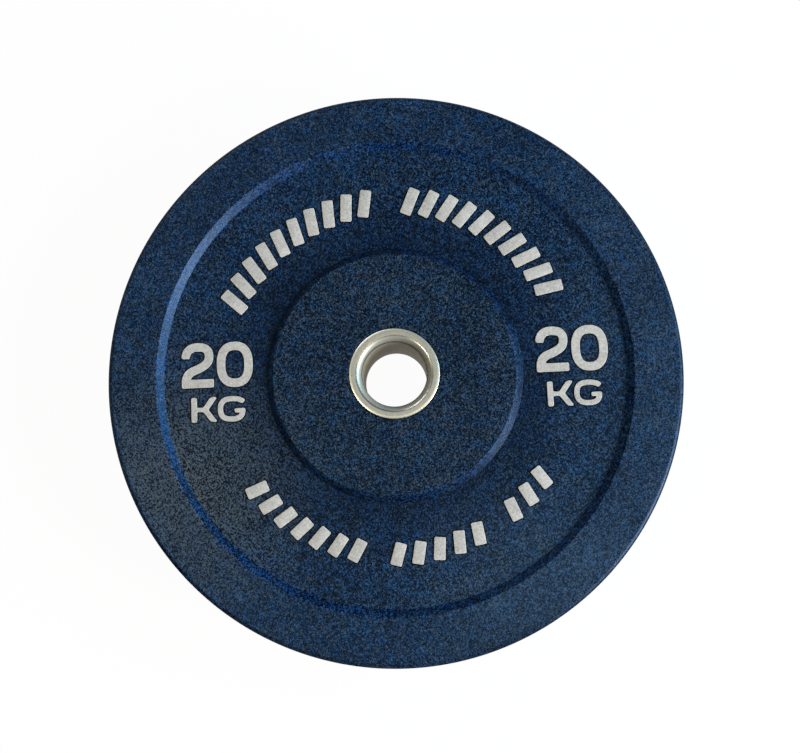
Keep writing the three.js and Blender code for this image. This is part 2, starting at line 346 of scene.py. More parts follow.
def ring_tone_and_painted_light(bench, place):
    """The crumbs' tone by radius, with painted blue sheen on slopes, painted shade at feet and outer edge.
    """
    hub, ring, rim, edge = (0.80, 0.735, 0.71), (0.61, 0.72, 0.81), (0.91, 0.94, 1.0), (0.64, 0.67, 0.72)
    # The slopes' blue is painted sheen, and the dark at the feet of the slopes is painted shade.
    hub_slope_sheen, hub_foot_shade = (0.52, 0.66, 0.9), (0.24, 0.37, 0.5)
    rim_foot_shade_and_sheen, rim_slope_sheen = (0.42, 0.7, 1.05), (0.5, 0.82, 1.2)
    foot_radius, ring_even_from = rim_inner_radius - rim_step_width, 150 * mm
    rings = [
        (0, hub),
        (hub_radius - 0.5 * mm, hub),
        (hub_radius + 0.8 * mm, hub_slope_sheen),
        (hub_radius + hub_step_width, hub_foot_shade),
        (ring_even_from, ring),
        (foot_radius - 0.8 * mm, ring),
        (foot_radius + 0.8 * mm, rim_foot_shade_and_sheen),
        (rim_inner_radius - 1.2 * mm, rim_slope_sheen),
        (rim_inner_radius + 1.2 * mm, rim),
        # Painted shade on the rounded outer edge and the side of the disc.
        (plate_radius - 4.5 * mm, rim),
        (plate_radius - 3 * mm, edge),
    ]
    return by_radius(bench, place, plate_radius, rings)


print("the crumbs run through", len(crumb_shades), "shades")

# %% [markdown]
# ## Painted light, dust and sheen on the crumbs
#
# Wide patches lean a little to brown or to blue. Grey at the left stands for dust and for a painted sheen
# of light, and the grains at the right and the lower right are painted paler, as light from the nearer
# lamp. Both shares are multiplied by how light a crumb's pick is, so they catch on the high grains first.
# That keeps the mosaic sharp where a plain soft patch would look like a stain.

# %% Tint the crumbs
def crumb_tint(bench, place, pick):
    """The shade that each crumb picks, leaning to blue or brown by wide patches, and shaded by radius."""
    shade = bench.node("ShaderNodeValToRGB", {"stops": crumb_shades}, {"Fac": pick})
    patch_size, patch_contrast = 9 * mm, 2.6
    brown_share = (noise(bench, place, patch_size, detail=1) - 0.5) * patch_contrast + 0.5
    leaning = mixed(bench, brown_share, (*bluer, 1), (*browner, 1))
    return bench.vector("MULTIPLY", bench.vector("MULTIPLY", shade, leaning), ring_tone_and_painted_light(bench, place))


def painted_light_and_dust(bench, place, tint, high_grains, inside, open_face):
    """The tint painted paler at the right as lamp light, and grey at the left as dust and painted sheen."""
    painted_light_spot, painted_light_reach = (105 * mm, -175 * mm, face_height), 125 * mm
    dust_and_sheen_spot, dust_and_sheen_reach = (-178 * mm, -82 * mm, floor_height), 135 * mm
    # The crumbs are painted paler towards the right and the lower right, as light from the nearer lamp.
    lit_right_side = ramped(bench, part_along(bench, place, "X"), 110 * mm, 220 * mm)
    painted_light_place = near_spot(bench, place, painted_light_spot, painted_light_reach) * 0.38 + lit_right_side * 0.22
    lit_tint = mixed(bench, painted_light_place * (high_grains * 0.5 + 0.25) * open_face, tint, (*painted_light_blue, 1))
    # The grey at the left is dust and a painted sheen of light, both caught on the high grains.
    dust_and_sheen_place = near_spot(bench, place, dust_and_sheen_spot, dust_and_sheen_reach) * (0.54 + inside * 0.16)
    return mixed(bench, dust_and_sheen_place * high_grains * open_face, lit_tint, (*dust_and_sheen_grey, 1))


# The paler grains at the right are painted light, and the grey at the left is dust with painted sheen.
print("worn grains are at most", max(painted_light_blue), "bright, and dust is", max(dust_and_sheen_grey))

# %% [markdown]
# ## The surface of the crumb rubber
#
# Under the colour there are two surfaces. The slopes are pressed smooth by the mould and shine a little,
# with a blue tint. The flats are partly open grain and the side nearly all, and open grain doesn't shine. A
# mix of two shaders gives every place its share of both. The relief of the crumbs comes from the same cells
# as their colours, through a Bump node, because real relief on 450 mm of crumbs would take millions of
# faces.

# %% Make the crumb rubber
coarse_crumb, fine_crumb, grain_size = 1.9 * mm, 0.9 * mm, 0.6 * mm
crumb_bend_size, crumb_bend_reach = 1.6 * mm, 1.2 * mm
drift_size, drift_strength = 45 * mm, 0.35
crumb_relief, flat_open_share, most_open_share = 0.19 * mm, 0.45, 0.9


def open_grain_share(bench, place, radius, open_face):
    """How much of a place is open grain: all of the side, part of the flats, and the scuffed corner."""
    side = ramped(bench, radius, plate_radius - 1.8 * mm, plate_radius - 1.0 * mm)
    corner = ramped(bench, radius, plate_radius - 4.2 * mm, plate_radius - 3.2 * mm)
    scuffed_place = near_spot(bench, place, (-170 * mm, -150 * mm, face_height), 190 * mm)
    side_and_flats = bench.maths("MAXIMUM", side, open_face * flat_open_share)
    return bench.maths("MAXIMUM", side_and_flats, corner * scuffed_place) * most_open_share


def crumb_rubber():
    material, bench = new_finish("crumb_rubber")
    place = object_place(bench)
    radius = radius_of(bench, place)
    bend = noise(bench, place, crumb_bend_size).other_output("Color")
    bent = shifted(bench, place, bend, crumb_bend_reach)
    coarse_cells, fine_cells = cells(bench, bent, coarse_crumb), cells(bench, bent, fine_crumb)
    coarse_pick = part_of(bench, coarse_cells.other_output("Color"), "Red")
    fine_pick = part_of(bench, fine_cells.other_output("Color"), "Green")
    drift = (noise(bench, place, drift_size, detail=3) - 0.5) * drift_strength
    inside = 1.0 - ramped(bench, radius, rim_inner_radius, rim_inner_radius + 1 * mm)
    pick = (fine_pick * 0.8 + coarse_pick * 0.2 - 0.5) * (0.92 + inside * 0.33) + 0.5 + drift
    flats = on_flats(bench, place)
    open_face = flats * (1.0 - ramped(bench, radius, plate_radius - 5 * mm, plate_radius - 4 * mm))
    tint = crumb_tint(bench, place, pick)
    colour = painted_light_and_dust(bench, place, tint, ramped(bench, pick, 0.34, 0.68), inside, open_face)
    grain = noise(bench, place, grain_size, detail=3)
    relief = (grain * 0.8 - coarse_cells * 0.5 - fine_cells * 0.7) * (flats * 0.4 + 0.6)
    bump = bumped(bench, relief, 0.8, crumb_relief)
    pressed = {
        "Base Color": colour,
        "Roughness": 0.34 + coarse_pick * 0.08,
        "Specular IOR Level": 0.37,
        "Specular Tint": (0.375, 0.6, 1.0, 1),
        "Normal": bump,
    }
    open_grain = {"Base Color": colour, "Roughness": 0.9, "Specular IOR Level": 0.0, "Normal": bump}
    close_finish(bench, pressed, open_grain, open_grain_share(bench, place, radius, open_face))
    return material


rubber_finish = crumb_rubber()
print("made", rubber_finish.name, "with", len(rubber_finish.node_tree.nodes), "nodes")

# %% [markdown]
# ## The finish of the grey inlays
#
# The marks are cut from fine light grey rubber, smooth beside the crumbs but not glossy. A fine noise gives
# the grain and a wide one the faint stains. The lowest part of their sides is painted dark, as the shade in
# the gap where a mark meets the disc. The height alone tells where that is, so no mask has to be painted.

# %% Make the inlay rubber
def inlay_rubber():
    light, dark, pocket_shade = (0.74, 0.69, 0.655, 1), (0.15, 0.14, 0.133, 1), (0.02, 0.025, 0.04, 1)
    material, bench = new_finish("inlay_rubber")
    place = object_place(bench)
    grain = noise(bench, place, 1.4 * mm, detail=4, roughness=0.8)
    stain = noise(bench, place, 9 * mm, detail=3)
    body = mixed(bench, stain * 0.35 + grain * 1.4 - 0.4, light, dark)
    # Painted shade at the foot of each mark, in the gap round it.
    unshaded_share = ramped(bench, height_of(bench, place), floor_height + 0.1 * mm, floor_height + 0.6 * mm)
    surface = {
        "Base Color": mixed(bench, unshaded_share, pocket_shade, body),
        "Roughness": 0.62 + grain * 0.15,
        "Normal": bumped(bench, grain, 0.3, 0.1 * mm),
    }
    close_finish(bench, surface)
    return material


inlay_finish = inlay_rubber()
print("made", inlay_finish.name, "with", len(inlay_finish.node_tree.nodes), "nodes")

# %% [markdown]
# ## The finishes of the steel
#
# The insert is turned on a lathe, so its marks run round the axis: they are long round the plate and fine
# across. A point's direction from the axis changes slowly and its radius and height change fast, and noise
# read at such a stretched point gives the rings. The sleeve is dull and brown inside. Where it meets the
# collar it is dark, as a dark joint, and painted shade fades from there a few millimetres up into the
# collar's mouth. The anchor disc in the rubber is raw plate.

# %% Make turned steel
def lathe_rings(bench, place, ring_size):
    """The rings that a lathe leaves: noise at a place stretched round the plate's axis."""
    heading = bench.vector("NORMALIZE", bench.vector("MULTIPLY", place, (1, 1, 0)))
    reach = radius_of(bench, place) + part_along(bench, place, "Z")
    across = bench.node("ShaderNodeCombineXYZ", None, {"Z": reach * (1 / ring_size)})
    sockets = {"Vector": bench.vector("ADD", heading, across), "Detail": 3.0}
    return bench.node("ShaderNodeTexNoise", None, sockets)


def seam_dirt_and_shade(bench, place, body):
    """Darkens steel at the seam of collar and sleeve: a dark joint, with painted shade fading up the mouth.
    """
    shade_above, dirt_below, dirt_and_shade_colour = 4.5 * mm, 1.6 * mm, (0.03, 0.026, 0.018, 1)
    height = height_of(bench, place)
    # Dark at the seam itself, a dark joint; the fade up into the collar's mouth is painted shade.
    above = ramped(bench, height, throat_height + shade_above / 3, throat_height + shade_above)
    below = 1.0 - ramped(bench, height, throat_height - dirt_below, throat_height - dirt_below / 3)
    return mixed(bench, bench.maths("MAXIMUM", above, below) * 0.93 + 0.07, dirt_and_shade_colour, body)


def turned_steel(name, light, dark, ring_size, depth, surface):
    """Steel with turning marks, mixed from a light and a dark colour, with more sockets as asked."""
    material, bench = new_finish(name)
    place = object_place(bench)
    rings = lathe_rings(bench, place, ring_size)
    cloud = noise(bench, place, 7 * mm, detail=3)
    body = mixed(bench, cloud * 0.7 + rings * 0.3, (*light, 1), (*dark, 1))
    varied = {
        "Base Color": seam_dirt_and_shade(bench, place, body),
        "Roughness": surface["Roughness"] - 0.06 + rings * 0.08 + cloud * 0.06,
        "Normal": bumped(bench, rings, 0.4, depth),
    }
    close_finish(bench, {**surface, **varied})
    return material


dull = {"Metallic": 0.3, "Roughness": 0.6, "Specular IOR Level": 0.2}
raw = {"Metallic": 1.0, "Roughness": 0.6}
brown_light, brown_dark = (0.32, 0.28, 0.19), (0.195, 0.16, 0.10)
plate_light, plate_dark = (0.20, 0.20, 0.20), (0.10, 0.09, 0.08)
sleeve_finish = turned_steel("sleeve_steel", brown_light, brown_dark, 0.5 * mm, 0.03 * mm, dull)
anchor_finish = turned_steel("anchor_steel", plate_light, plate_dark, 3 * mm, 0.05 * mm, raw)
print("made", sleeve_finish.name, "and", anchor_finish.name)

# %% [markdown]
# ## The finish of the collars
#
# The collars have a dull plating that is rubbed bright where a bar touches it, most of all where the mouth
# begins. One value, how much a place is worn, is set by radius and makes the plating both more metallic and
# less rough. Two finishes with a mask between them would need twice the nodes for the same look. The colour
# of the lip's outer edge is lightened to yellowish white, a painted highlight, and the mouth darkens towards
# the sleeve with painted shade.

# %% Make the collars' steel
def wear_of(bench, place):
    """How bright the collar is rubbed: most where the mouth begins, least deep inside it."""
    mouth_radius, fall_start = bore_radius + flare_width, collar_radius - lip_fall_width
    rings = [
        (0, 0.0),
        (bore_radius + 0.5 * mm, 0.0),
        (bore_radius + 1.2 * mm, 0.45),
        (mouth_radius - 2.1 * mm, 0.45),
        (mouth_radius - 1.5 * mm, 1.0),
        (mouth_radius - 0.8 * mm, 1.0),
        (mouth_radius - 0.2 * mm, 0.5),
        (fall_start, 0.5),
        (collar_radius - 1.4 * mm, 0.75),
    ]
    greys = [(radius, (wear, wear, wear)) for radius, wear in rings]
    return part_of(bench, by_radius(bench, place, collar_radius, greys), "Red")


def plated_with_painted_highlight(bench, place, rings, cloud):
    """The plating's colour, with a yellowish painted highlight on the outer edge, and small dark nicks."""
    light, dark = (0.615, 0.61, 0.57, 1), (0.35, 0.33, 0.262, 1)
    painted_highlight_colour, nick_colour = (0.95, 0.92, 0.78, 1), (0.12, 0.11, 0.085, 1)
    plated = mixed(bench, cloud * 0.8 + rings * 0.2, light, dark)
    # A painted yellowish highlight on the lip's outer edge.
    edge_start = collar_radius - 2.2 * mm
    painted_highlight_share = ramped(bench, radius_of(bench, place), edge_start, edge_start + 1.0 * mm) * 0.6
    highlighted = mixed(bench, painted_highlight_share, plated, painted_highlight_colour)
    nicks = ramped(bench, noise(bench, place, 1.6 * mm, detail=2), 0.66, 0.74) * 0.5
    return mixed(bench, nicks, highlighted, nick_colour)


def collar_steel():
    material, bench = new_finish("collar_steel")
    place = object_place(bench)
    wear = wear_of(bench, place)
    rings = lathe_rings(bench, place, 0.35 * mm)
    cloud = noise(bench, place, 3 * mm, detail=4, roughness=0.65)
    surface = {
        "Base Color": seam_dirt_and_shade(bench, place, plated_with_painted_highlight(bench, place, rings, cloud)),
        "Metallic": 0.35 + wear * 0.55,
        "Roughness": 0.58 - wear * 0.31 + cloud * 0.04,
        "Specular IOR Level": 0.05,
        "Normal": bumped(bench, rings + cloud, 0.4, 0.02 * mm),
    }
    close_finish(bench, surface)
    return material


collar_finish = collar_steel()
print("made", collar_finish.name, "with", len(collar_finish.node_tree.nodes), "nodes")

# %% [markdown]
# ## Helpers for meshes
#
# A piece goes through the same steps each time: its modifiers are worked out and baked into a plain mesh,
# its doubles are merged, its faces are turned outwards, and edges that bend sharply stay sharp. Then it
# rides on the plate's only body and takes the place of its plain solid.

# %% Define the mesh helpers
weld_distance = 0.002 * mm
sharp_angle = math.radians(35)


def mesh_object(name, points, edges=(), faces=()):
    mesh = bpy.data.meshes.new(name)
    mesh.from_pydata(points, edges, faces)
    piece = bpy.data.objects.new(name, mesh)
    bpy.context.scene.collection.objects.link(piece)
    return piece


def bake(piece):
    """Turns what the modifiers make of a piece into its plain mesh."""
    evaluated = piece.evaluated_get(bpy.context.evaluated_depsgraph_get())
    mesh = bpy.data.meshes.new_from_object(evaluated)
    piece.modifiers.clear()
    piece.data = mesh
    return piece


def tidy_mesh(piece):
    """Merges doubles, points the faces outwards and says how much the piece holds."""
    mesh = bmesh.new()
    mesh.from_mesh(piece.data)
    bmesh.ops.remove_doubles(mesh, verts=mesh.verts, dist=weld_distance)
    bmesh.ops.recalc_face_normals(mesh, faces=mesh.faces)
    open_edges = sum(not edge.is_manifold for edge in mesh.edges)
    millilitres = mesh.calc_volume(signed=True) / mm ** 3 / 1000
    mesh.to_mesh(piece.data)
    mesh.free()
    faces = len(piece.data.polygons)
    print(f"{piece.name}: {faces} faces, {millilitres:.2f} ml, {open_edges} open edges")
    return piece


def finish_piece(piece, finish, node):
    """Gives a piece its finish and shows it in place of its plain solid."""
    piece.data.materials.clear()
    piece.data.materials.append(finish)
    piece.data.shade_smooth()
    piece.data.set_sharp_from_angle(angle=sharp_angle)
    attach(piece, "root")
    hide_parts(node)
    return piece


print("the helpers are ready")

# %% [markdown]
# ## Sections
#
# The disc, the collars and the sleeve are all round, so each is one section spun round the axis. A section
# is written as its corners, each with a radius from the axis, a height and a rounding. The helper turns
# every rounding into an arc and sets one more point just beyond each end of it. That point holds the flat
# beside the arc flat, because smooth shading blends the normals of neighbouring faces.

# %% Round the corners of a section
def corner_arc(before, corner, after, rounding, steps=7, hold=0.25 * mm):
    to_before = (before - corner).normalized()
    to_after = (after - corner).normalized()
    half_angle = to_before.angle(to_after) / 2
    reach = rounding / math.tan(half_angle)
    centre = corner + (to_before + to_after).normalized() * rounding / math.sin(half_angle)
    first = corner + to_before * reach - centre
    last = corner + to_after * reach - centre
    start = math.atan2(first.y, first.x)
    turn = math.remainder(math.atan2(last.y, last.x) - start, 2 * math.pi)
    arc = []
    for step in range(steps + 1):
        angle = start + turn * step / steps
        arc.append(centre + rounding * Vector((math.cos(angle), math.sin(angle))))
    return [corner + to_before * (reach + hold), *arc, corner + to_after * (reach + hold)]


def rounded_section(corners):
    points = []
    for i, (radius, height, rounding) in enumerate(corners):
        corner = Vector((radius, height))
        if not rounding:
            points.append(corner)
            continue
        before = Vector(corners[i - 1][:2])
        after = Vector(corners[(i + 1) % len(corners)][:2])
        points.extend(corner_arc(before, corner, after, rounding))
    return points


def mirrored(half):
    """A section's upper half, and the same below it."""
    return [(radius, -height, rounding) for radius, height, rounding in reversed(half)] + half


test_square = [(1, 0, 0.1), (2, 0, 0.1), (2, 1, 0.1), (1, 1, 0.1)]
print("a square with rounded corners has", len(rounded_section(test_square)), "points")

# %% [markdown]
# ## Geometry Nodes from a script
#
# A Geometry Nodes tree is a rule that makes geometry from named inputs, which suits whatever is spun or
# repeated. Three helpers are enough: one opens a tree with its inputs, one ends it, and one runs it on a
# piece. An input is set by the identifier that the tree gave it, because a modifier doesn't know its name.
# The result becomes a plain mesh at once, so that no rule is left to be worked out later.

# %% Write geometry trees
def geometry_tree(name, inputs):
    """A Geometry Nodes tree with named inputs, its bench, and a dict of its input wires."""
    tree = bpy.data.node_groups.new(name, "GeometryNodeTree")
    tree.interface.new_socket("Geometry", in_out="INPUT", socket_type="NodeSocketGeometry")
    for input_name, kind in inputs.items():
        tree.interface.new_socket(input_name, in_out="INPUT", socket_type="NodeSocket" + kind)
    tree.interface.new_socket("Geometry", in_out="OUTPUT", socket_type="NodeSocketGeometry")
    bench = Bench(tree)
    first = bench.node("NodeGroupInput")
    wires = {socket.name: Wire(bench, socket) for socket in first.socket.node.outputs if socket.name}
    return tree, bench, wires


def close_tree(bench, geometry, finish):
    """Ends a tree: real geometry instead of copies by reference, with its finish on it."""
    real = bench.node("GeometryNodeRealizeInstances", None, {"Geometry": geometry})
    painted = bench.node("GeometryNodeSetMaterial", None, {"Geometry": real, "Material": finish})
    bench.node("NodeGroupOutput", None, {"Geometry": painted})


def run_tree(piece, tree, values):
    """Puts the tree on a piece, sets its inputs by name, and bakes the result."""
    modifier = piece.modifiers.new(tree.name, "NODES")
    modifier.node_group = tree
    for item in tree.interface.items_tree:
        if item.in_out == "INPUT" and item.name in values:
            modifier[item.identifier] = values[item.name]
    return bake(piece)


print("a geometry tree ends in real geometry with its finish on it")

# %% [markdown]
# ## Spinning a section
#
# Spin in edit mode would do, but Geometry Nodes keep the rule visible: the section is swept along a circle,
# as a lathe tool runs round a blank. The sweep turns a section's height upside down, so the section is
# turned over first, and it is set back by the radius of the circle that it travels on.

# %% Build the spinning tree
def spinning_tree():
    inputs = {"Path radius": "Float", "Segments": "Int", "Finish": "Material"}
    tree, bench, wires = geometry_tree("Spin a section", inputs)
    section = bench.node("GeometryNodeMeshToCurve", None, {"Mesh": wires["Geometry"]})
    set_back = bench.node("ShaderNodeCombineXYZ", None, {"X": 0 - wires["Path radius"]})
    sockets = {"Geometry": section, "Translation": set_back, "Rotation": (math.pi, 0, 0)}
    turned = bench.node("GeometryNodeTransform", None, sockets)
    sockets = {"Resolution": wires["Segments"], "Radius": wires["Path radius"]}
    path = bench.node("GeometryNodeCurvePrimitiveCircle", None, sockets)
    body = bench.node("GeometryNodeCurveToMesh", None, {"Curve": path, "Profile Curve": turned})
    close_tree(bench, body, wires["Finish"])
    return tree


spin = spinning_tree()
disc_segments, steel_segments = 360, 180


def spun(name, corners, segments, finish):
    """A closed solid from the corners of a section, each with its rounding."""
    points = rounded_section(corners)
    count = len(points)
    edges = [(i, (i + 1) % count) for i in range(count)]
    piece = mesh_object(name, [(point.x, point.y, 0) for point in points], edges)
    run_tree(piece, spin, {"Path radius": plate_radius, "Segments": segments, "Finish": finish})
    return tidy_mesh(piece)


print("the spinning tree has", len(spin.nodes), "nodes")

# %% [markdown]
# ## The rubber disc
#
# The disc is one moulding: a raised rim, a sunken ring that holds the marks, and a raised hub round the
# collar, the same on both faces. The slopes between them have soft edges, as a pressed part leaves its
# mould. Inside, a slot holds the anchor disc, and rubber plugs go through the anchor's holes and tie both
# halves together. Spinning one section gives all of this but the plugs, and keeps every edge truly round.

# %% Spin the rubber disc
face_edge_rounding = 0.9 * mm
ring_foot_rounding = 1.2 * mm
mouth_rounding = 0.8 * mm
collar_gap = 0.5 * mm
anchor_slot = anchor_top + clearance

disc_half = [
    (anchor_radius + clearance, anchor_slot, 0),
    (socket_radius, anchor_slot, 0),
    (socket_radius, skirt_foot - clearance, 0),
    (skirt_radius + clearance, skirt_foot - clearance, 0),
    (skirt_radius + clearance, lip_foot - clearance, 0),
    (collar_radius + collar_gap, lip_foot - clearance, 0),
    (collar_radius + collar_gap, face_height, mouth_rounding),
    (hub_radius, face_height, face_edge_rounding),
    (hub_radius + hub_step_width, floor_height, ring_foot_rounding),
    (rim_inner_radius - rim_step_width, floor_height, ring_foot_rounding),
    (rim_inner_radius, face_height, face_edge_rounding),
    (plate_radius, face_height, outer_edge_radius),
]
rubber_disc = spun("rubber_disc", mirrored(disc_half), disc_segments, rubber_finish)

# %% [markdown]
# ## Marks drawn with a pen
#
# The marks are cut from rubber with strokes of an even width, so they are drawn as a broad pen draws: each
# stroke is a line of points with a width. A text object would need a font, and no font has just these
# shapes. A 2 is a bowl and a foot, and a 0 is one closed line on a curve between an oval and a rectangle.

# %% Draw the numerals
def pen_line(points, width, rounding=0.0, closed=False, level=None):
    """A line of points for a pen of this width. Its ends are square with rounded corners, or cut level."""
    return {"points": points, "width": width, "rounding": rounding, "closed": closed, "level": level}


def curve_points(start, shares, half_width, half_height, steps=14):
    """Points of a run of curves whose ends and handles are shares of half a box."""
    size = Vector((half_width, half_height))
    last = Vector(start) * size
    points = [last]
    for ax, ay, bx, by, x, y in shares:
        first_handle, second_handle, end = (Vector(pair) * size for pair in ((ax, ay), (bx, by), (x, y)))
        for step in range(1, steps + 1):
            t = step / steps
            s = 1 - t
            first_half = last * s ** 3 + first_handle * 3 * s * s * t
            points.append(first_half + second_handle * 3 * s * t * t + end * t ** 3)
        last = end
    return points


def numeral_two(width, height, stroke, rounding):
    half_width, half_height = (width - stroke) / 2, (height - stroke) / 2
    bowl_start = (-1, 0.37)
    bowl_shares = [
        (-1, 0.8, -0.6, 1, 0, 1),
        (0.66, 1, 1, 0.86, 1, 0.48),
        (1, 0.08, 0.6, -0.05, -0.12, -0.25),
        (-0.8, -0.38, -1, -0.58, -1, -1),
    ]
    bowl = curve_points(bowl_start, bowl_shares, half_width, half_height)
    foot = [Vector((-width / 2, -half_height)), Vector((width / 2, -half_height))]
    return [pen_line(bowl, stroke, rounding), pen_line(foot, stroke, rounding / 2)]


def numeral_zero(width, height, stroke, squareness=2.5, sides=96):
    half_width, half_height = (width - stroke) / 2, (height - stroke) / 2
    points = []
    for i in range(sides):
        across, up = math.cos(2 * math.pi * i / sides), math.sin(2 * math.pi * i / sides)
        x = math.copysign(abs(across) ** (2 / squareness), across)
        y = math.copysign(abs(up) ** (2 / squareness), up)
        points.append(Vector((half_width * x, half_height * y)))
    return [pen_line(points, stroke, closed=True)]


test_two = numeral_two(25.4, 35.8, 6.8, 1.3)
print("a 2 takes", sum(len(line["points"]) for line in test_two), "pen points")

# %% [markdown]
# ## The two letters
#
# A K is a stem, a short bar, and two arms that meet in a fork and are cut level with its top and foot. A G
# is a bowl that stays open at the right, with a bar that runs in from its side. Both are drawn in a box of
# their own width and height, so these two numbers are enough to fit them to the real marks.

# %% Draw the letters
def letter_k(width, height, stroke, bar_stroke, rounding, arm_turn=math.radians(54), arm_share=0.95):
    half_height, arm_stroke = height / 2, stroke * arm_share
    stem_x, arm_x = stroke / 2 - width / 2, width / 2 - arm_stroke / 2 / math.sin(arm_turn)
    fork = Vector((arm_x - half_height / math.tan(arm_turn), 0))
    stem = [Vector((stem_x, -half_height)), Vector((stem_x, half_height))]
    bar = [Vector((stem_x, 0)), fork]
    arms = [Vector((arm_x, half_height)), fork, Vector((arm_x, -half_height))]
    arm_line = pen_line(arms, arm_stroke, rounding, level=half_height)
    return [pen_line(stem, stroke, rounding), pen_line(bar, bar_stroke), arm_line]


def letter_g(width, height, stroke, bar_stroke, rounding):
    half_width, half_height = (width - stroke) / 2, (height - stroke) / 2
    bowl_start, bar_start, bar_height, bar_rounding = (1.1, 0.63), 0.27, -0.175, rounding * 0.7
    bowl_shares = [
        (0.86, 0.92, 0.5, 1, 0.05, 1),
        (-0.72, 1, -1, 0.7, -1, 0),
        (-1, -0.7, -0.72, -1, 0.05, -1),
        (0.72, -1, 1, -0.72, 1, bar_height),
    ]
    bowl = curve_points(bowl_start, bowl_shares, half_width, half_height)
    bar_y = bar_height * half_height
    bar = [Vector((bar_start * half_width, bar_y)), Vector((width / 2, bar_y))]
    return [pen_line(bowl, stroke, rounding), pen_line(bar, bar_stroke, bar_rounding)]


test_k = letter_k(20.7, 19.7, 4.6, 3.5, 1.1)
print("a K takes", len(test_k), "strokes")

# %% [markdown]
# ## From pen lines to patches
#
# The two sides of a stroke are worked out from its line, and each pair of neighbouring points gives one
# four-sided patch. The ends of a stroke get a cap: square with round corners, or cut level. A curve with a
# bevel would also give a stroke its width, but not these ends.

# %% Turn pen lines into patches
def rounded_end(left, right, along, rounding, steps=5, widest_turn=math.radians(84)):
    """The two sides of a line drawn in towards its end, from the end back, so that its corners are round."""
    middle, across = (left + right) / 2, (left - right).normalized()
    half = (left - right).length / 2
    sides = []
    for step in range(steps + 1):
        turn = widest_turn * (1 - step / steps)
        back = along * rounding * (math.sin(turn) - 1)
        reach = across * (half - rounding * (1 - math.cos(turn)))
        sides.append((middle + back + reach, middle + back - reach))
    return sides


def square_cap(line, point, side, outward, grow):
    end = point + outward * grow
    rounding = max(line["rounding"] + grow, 0.01 * mm)
    return rounded_end(end + side, end - side, outward, rounding)


def level_cap(line, point, side, outward, grow):
    """The end of a line cut level, with its two corners cut off."""
    level = math.copysign(line["level"] + grow, outward.y)
    slides = ((level - point.y - offset.y) / outward.y for offset in (side, -side))
    left, right = (point + offset + outward * slide for offset, slide in zip((side, -side), slides))
    narrower, lower = (left - right).normalized() * line["rounding"], outward * line["rounding"]
    return [(left - narrower, right + narrower), (left - lower, right - lower)]


def line_quads(line, grow):
    """The four-sided patches that a pen line covers, when it is wider and longer by grow all round."""
    points, closed = line["points"], line["closed"]
    count = len(points)
    half = line["width"] / 2 + grow
    cap_of = level_cap if line["level"] else square_cap
    sides = []
    for i, point in enumerate(points):
        before = points[i - 1] if closed or i > 0 else None
        after = points[(i + 1) % count] if closed or i < count - 1 else None
        leaving = (after - point).normalized() if after else (point - before).normalized()
        arriving = (point - before).normalized() if before else leaving
        along = (arriving + leaving).normalized()
        side = Vector((-along.y, along.x)) * half / along.dot(leaving)
        if before and after:
            sides.append((point + side, point - side))
        else:
            cap = cap_of(line, point, side, along if before else -along, grow)
            sides += cap if after else cap[::-1]
    pairs = zip(sides, sides[1:] + sides[:1]) if closed else zip(sides, sides[1:])
    return [(right, next_right, next_left, left) for (left, right), (next_left, next_right) in pairs]


print("the strokes of a K cover", sum(len(line_quads(line, 0)) for line in test_k), "patches")

# %% [markdown]
# ## From patches to outlines
#
# Strokes overlap where they meet, so their patches are joined flat. A triangulation cuts the plane along
# all their edges and tells which patches own each triangle, and the outline runs where an owned triangle
# has no owned neighbour. It is then softened a little, because cut rubber has no knife-sharp corners.

# %% Join the patches into outlines
def boundary_loops(points, faces):
    """The outlines round a set of triangles, each walked with the inside on its left."""
    edges = {(face[i - 1], face[i]) for face in faces for i in range(3)}
    following = {a: b for a, b in edges if (b, a) not in edges}
    loops = []
    while following:
        first, point = following.popitem()
        loop = [first]
        while point != first:
            loop.append(point)
            point = following.pop(point)
        loops.append([points[index] for index in loop])
    return loops


def evenly_spaced(loop, spacing):
    lengths = [(b - a).length for a, b in zip(loop, loop[1:] + loop[:1])]
    count = max(8, round(sum(lengths) / spacing))
    step = sum(lengths) / count
    spaced, walked = [], 0.0
    for (a, b), length in zip(zip(loop, loop[1:] + loop[:1]), lengths):
        while len(spaced) * step < walked + length and len(spaced) < count:
            spaced.append(a.lerp(b, (len(spaced) * step - walked) / length))
        walked += length
    return spaced


def softened(loop, spacing=0.4 * mm, passes=5):
    """The outline with its corners rounded, by moving each point towards the middle of its neighbours."""
    points = evenly_spaced(loop, spacing)
    for _ in range(passes):
        following = points[1:] + points[:1]
        points = [(points[i - 1] + 2 * point + following[i]) / 4 for i, point in enumerate(points)]
    return points


def outlines(lines, grow=0.0, weld=0.001 * mm):
    """The outlines round everything that the pen lines cover."""
    points, quads = [], []
    for quad in (quad for line in lines for quad in line_quads(line, grow)):
        quads.append(list(range(len(points), len(points) + 4)))
        points.extend(quad)
    joined, _, faces, _, _, owners = delaunay_2d_cdt(points, [], quads, 1, weld)
    covered = [face for face, owner in zip(faces, owners) if owner]
    return [softened(loop) for loop in boundary_loops(joined, covered)]


test_loops = outlines(numeral_zero(28.5 * mm, 36.1 * mm, 6.8 * mm))
print("a 0 has", len(test_loops), "outlines of", [len(loop) for loop in test_loops], "points")

# %% [markdown]
# ## Solid marks
#
# An outline becomes a solid in rings: one at the foot, one where the side ends, and a few that draw in as
# they rise and round the top edge. Each ring is the outline moved inwards by the same step. The top and the
# foot are filled flat. The pocket in the disc is cut by the solid of slightly wider pen lines, which leaves
# the thin dark line that shows round every mark. A Bevel modifier could round the top as well, but it
# stumbles where many short edges meet, as they do round a 0.

